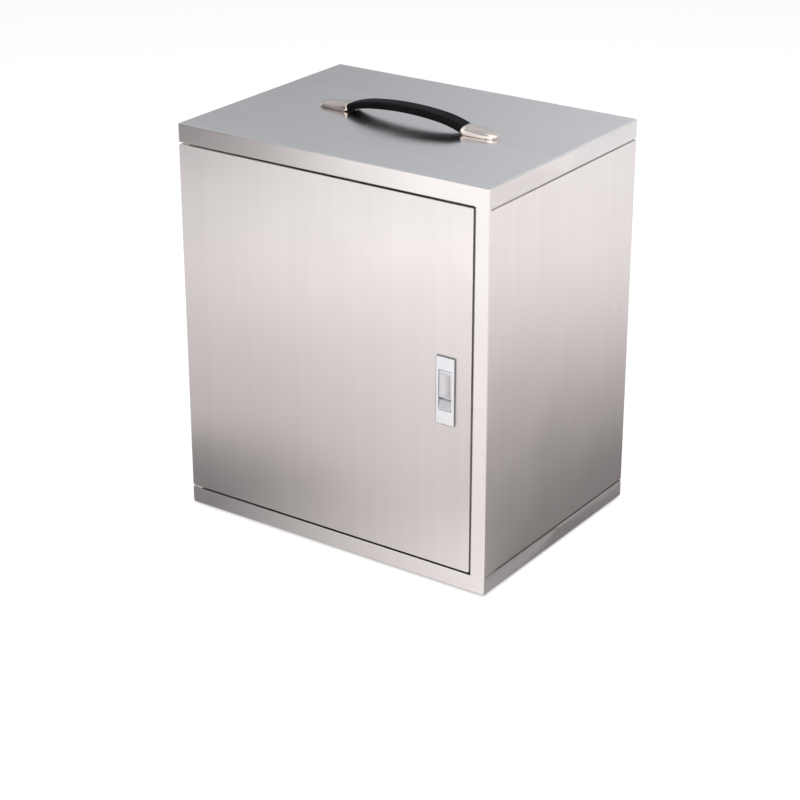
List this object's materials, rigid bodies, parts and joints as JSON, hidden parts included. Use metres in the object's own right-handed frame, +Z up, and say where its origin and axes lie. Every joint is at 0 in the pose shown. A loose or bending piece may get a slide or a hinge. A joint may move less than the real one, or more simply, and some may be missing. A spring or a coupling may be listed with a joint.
{
  "type": "insulated food box",
  "caption": "Upright insulated food box in brushed steel sheet with a flush latched front door, wire shelves on side racks and an arched carrying handle on its lid.",
  "frame": {"origin": "on the ground under the middle of the box body", "axes": "+X to the right as seen from the front, +Y to the back, +Z up"},
  "size_m": [0.445, 0.3338, 0.53],
  "materials": {
    "brushed_side_steel": "satin",
    "brushed_band_steel": "satin",
    "liner_steel": "satin",
    "foam": "matte",
    "black_rubber": "matte",
    "grey_rubber": "matte",
    "plated_steel": "satin",
    "white_nylon": "satin",
    "satin_alloy": "satin",
    "spring_wire": "satin",
    "nickel_alloy": "satin",
    "black_grip": "satin",
    "screw_steel": "satin",
    "rack_steel": "satin",
    "bright_wire": "gloss"
  },
  "bodies": {
    "cabinet": {"outer_wrap": "brushed_side_steel", "cap_tray": "brushed_band_steel", "base_tray": "brushed_band_steel", "liner_wrap": "liner_steel", "liner_top": "liner_steel", "liner_bottom": "liner_steel", "insulation_left": "foam", "insulation_right": "foam", "insulation_back": "foam", "insulation_top": "foam", "insulation_bottom": "foam", "foot_pads": "black_rubber", "pivot_plates": "plated_steel", "strike_plate": "plated_steel", "handle_plates": "plated_steel", "handle_strap": "plated_steel", "pivot_bushes": "white_nylon", "handle_end_left": "nickel_alloy", "handle_end_right": "nickel_alloy", "handle_grip": "black_grip", "rack_screws": "screw_steel", "strike_screws": "screw_steel", "handle_screws": "screw_steel", "rack_left": "rack_steel", "rack_right": "rack_steel", "wire_shelf_1": "bright_wire", "wire_shelf_2": "bright_wire", "wire_shelf_3": "bright_wire"},
    "door": {"door_skin": "brushed_side_steel", "door_liner": "liner_steel", "door_insulation": "foam", "door_gasket": "grey_rubber", "door_screws": "screw_steel", "pivot_blocks": "plated_steel", "pivot_pins": "plated_steel", "latch_frame": "satin_alloy", "latch_clamp": "plated_steel", "latch_clamp_screws": "screw_steel", "latch_pin": "plated_steel", "button_spring": "spring_wire", "bolt_spring": "spring_wire", "bolt_guide": "plated_steel"},
    "paddle": {"latch_paddle": "satin_alloy"},
    "button": {"latch_button": "satin_alloy"},
    "bolt": {"latch_bolt": "satin_alloy"}
  },
  "joints": [
    {"name": "door_hinge", "type": "hinge", "parent": "cabinet", "child": "door", "pos_m": [-0.214, -0.156, 0.25525], "axis": [0, 0, -1], "range_deg": [0, 180]},
    {"name": "paddle_swing", "type": "hinge", "parent": "door", "child": "paddle", "pos_m": [0.1665, -0.1639, 0.27785], "axis": [-1, 0, 0], "range_deg": [0, 40]},
    {"name": "button_press", "type": "slide", "parent": "door", "child": "button", "axis": [0, 1, 0], "range_m": [0, 0.0025], "stiffness_N_per_m": 400, "springref_m": -0.001},
    {"name": "bolt_throw", "type": "slide", "parent": "door", "child": "bolt", "axis": [1, 0, 0], "range_m": [0, 0.008]}
  ]
}
